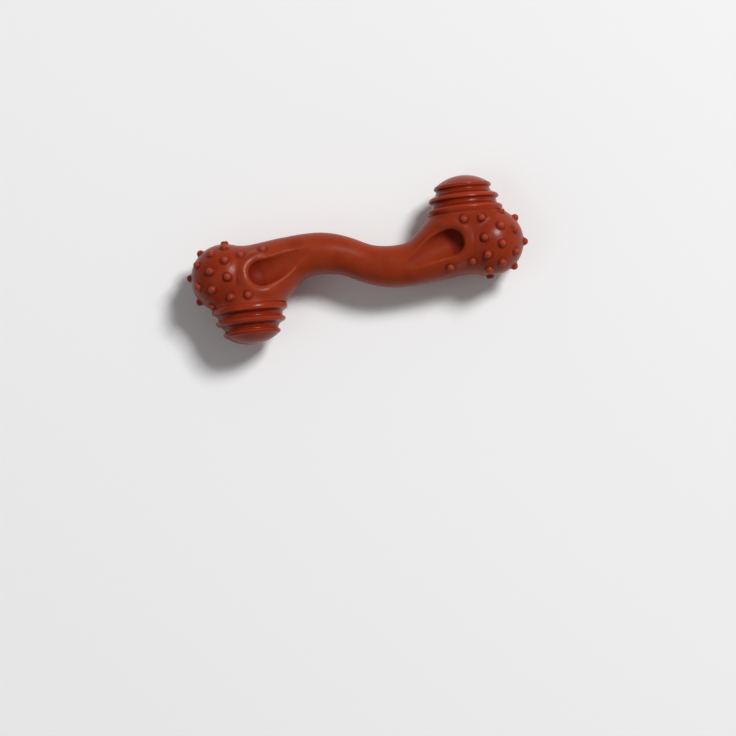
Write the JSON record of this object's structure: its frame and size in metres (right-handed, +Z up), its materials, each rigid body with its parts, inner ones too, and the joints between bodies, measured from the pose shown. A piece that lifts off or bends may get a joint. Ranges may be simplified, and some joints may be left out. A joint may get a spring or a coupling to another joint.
{
  "type": "chew bone",
  "caption": "S-shaped moulded chew bone with a wavy shaft, spoon-shaped scoops, round nubbed end caps and ribbed side knobs, for a dog to gnaw and grip.",
  "frame": {"origin": "on the surface that the bone lies on, under the middle of its length and width", "axes": "+X along the bone's length, +Y in the plane of its S towards the right knob, +Z up through the scoops"},
  "size_m": [0.222, 0.0938, 0.0508],
  "materials": {
    "shaft_nylon": "satin brick-red nylon, smooth as moulded",
    "cap_nylon": "satin brick-red nylon with raised nubs",
    "knob_nylon": "satin brick-red nylon with raised ribs"
  },
  "bodies": {
    "root": {"shaft": "shaft_nylon", "left_nub_cap": "cap_nylon", "right_nub_cap": "cap_nylon", "left_rib_knob": "knob_nylon", "right_rib_knob": "knob_nylon"}
  },
  "joints": []
}
